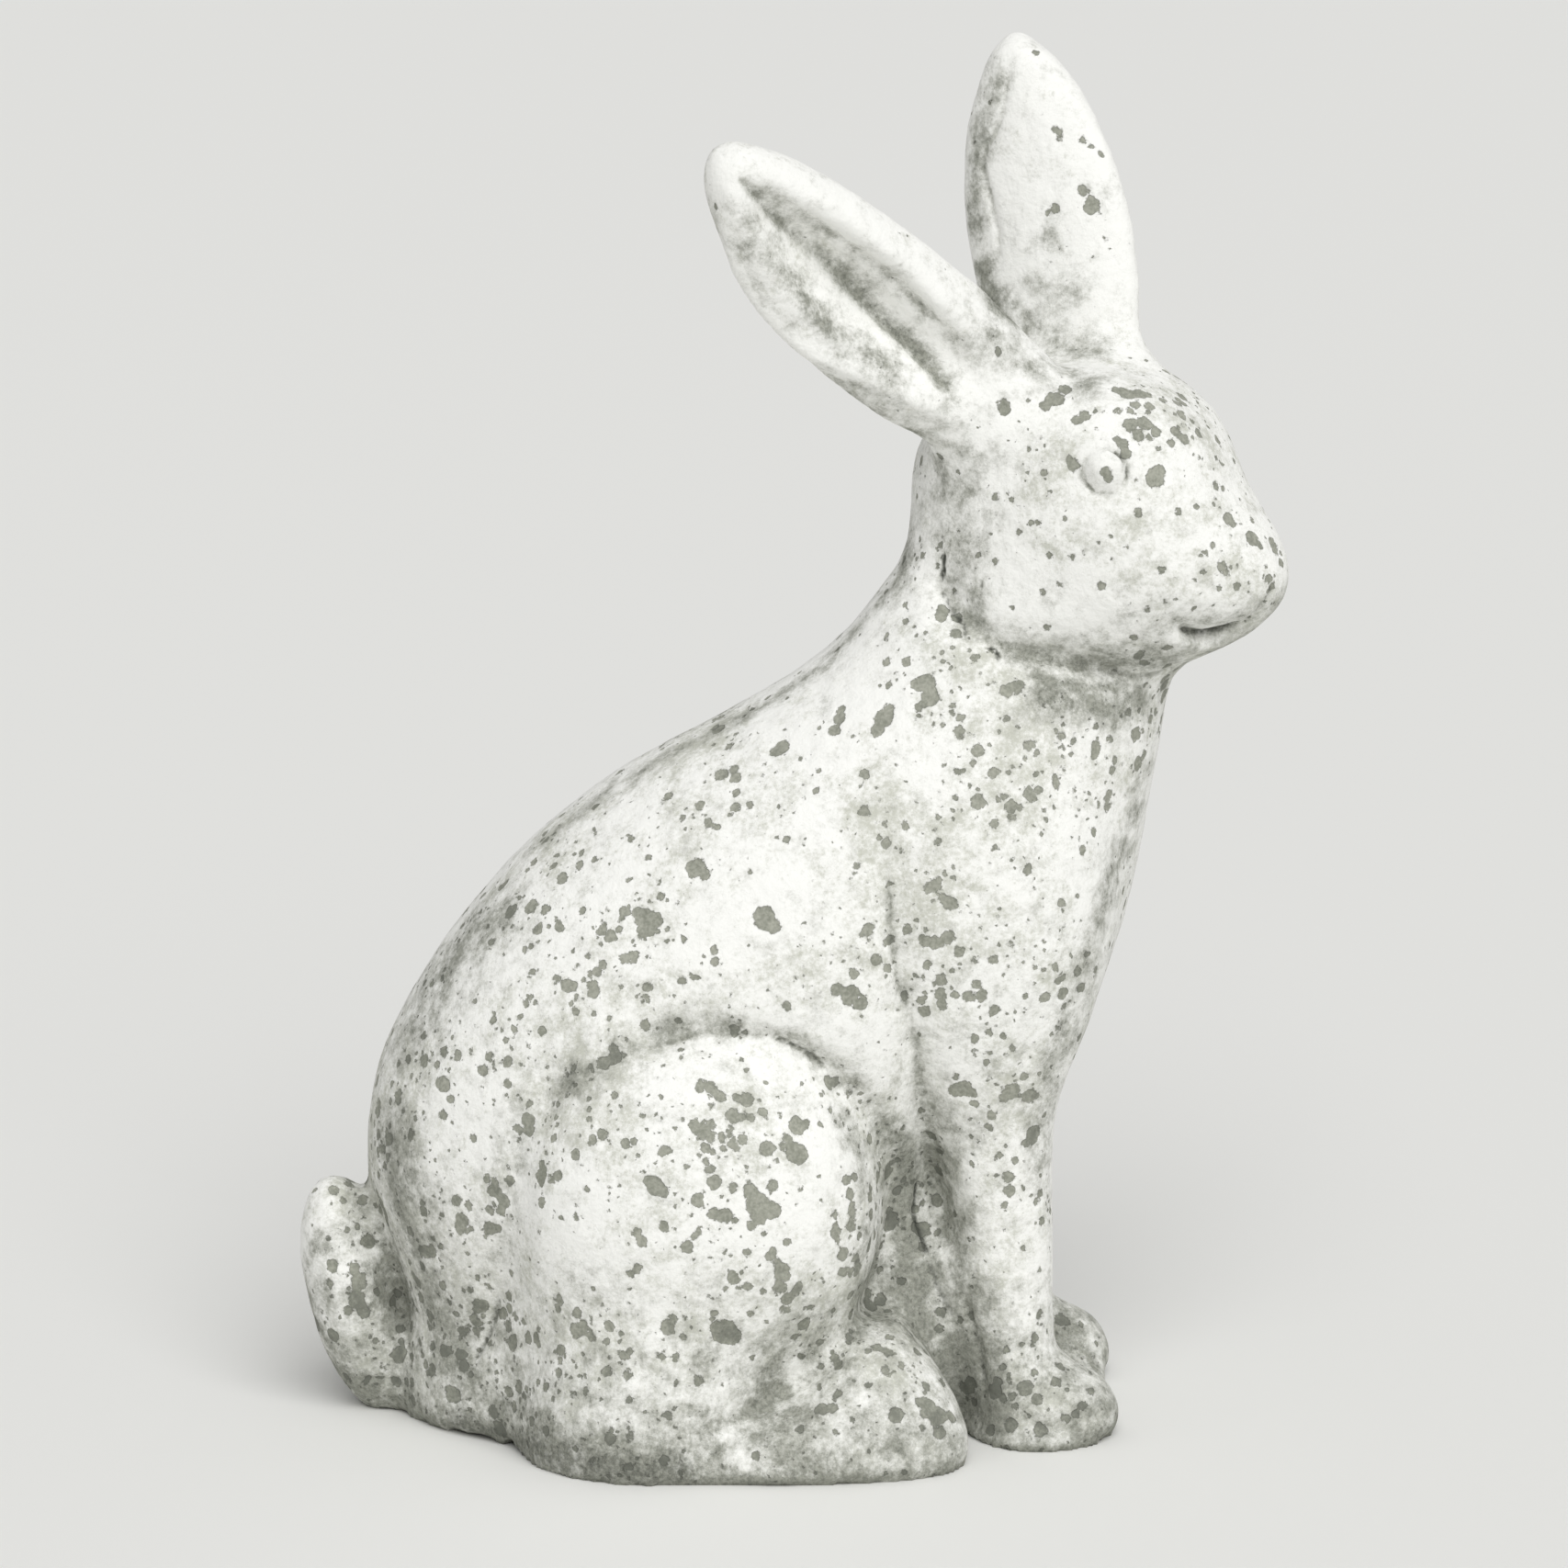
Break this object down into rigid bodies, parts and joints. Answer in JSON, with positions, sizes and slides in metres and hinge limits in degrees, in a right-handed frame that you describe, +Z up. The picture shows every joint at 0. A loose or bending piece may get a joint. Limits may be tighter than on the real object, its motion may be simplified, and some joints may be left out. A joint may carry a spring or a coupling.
{
  "type": "garden rabbit statue",
  "caption": "Seated garden rabbit cast in whitewashed cement, head turned to its right, with tall ears, flat underside and chipped, weathered surface.",
  "frame": {"origin": "on the ground, under the middle of the statue's bounding box", "axes": "+Z up, +X the way the rabbit's body faces, +Y its left"},
  "size_m": [0.286, 0.1686, 0.4],
  "materials": {
    "cement": "matte whitewash on grey cast cement, chipped and stained"
  },
  "bodies": {
    "root": {"rabbit": "cement"}
  },
  "joints": []
}
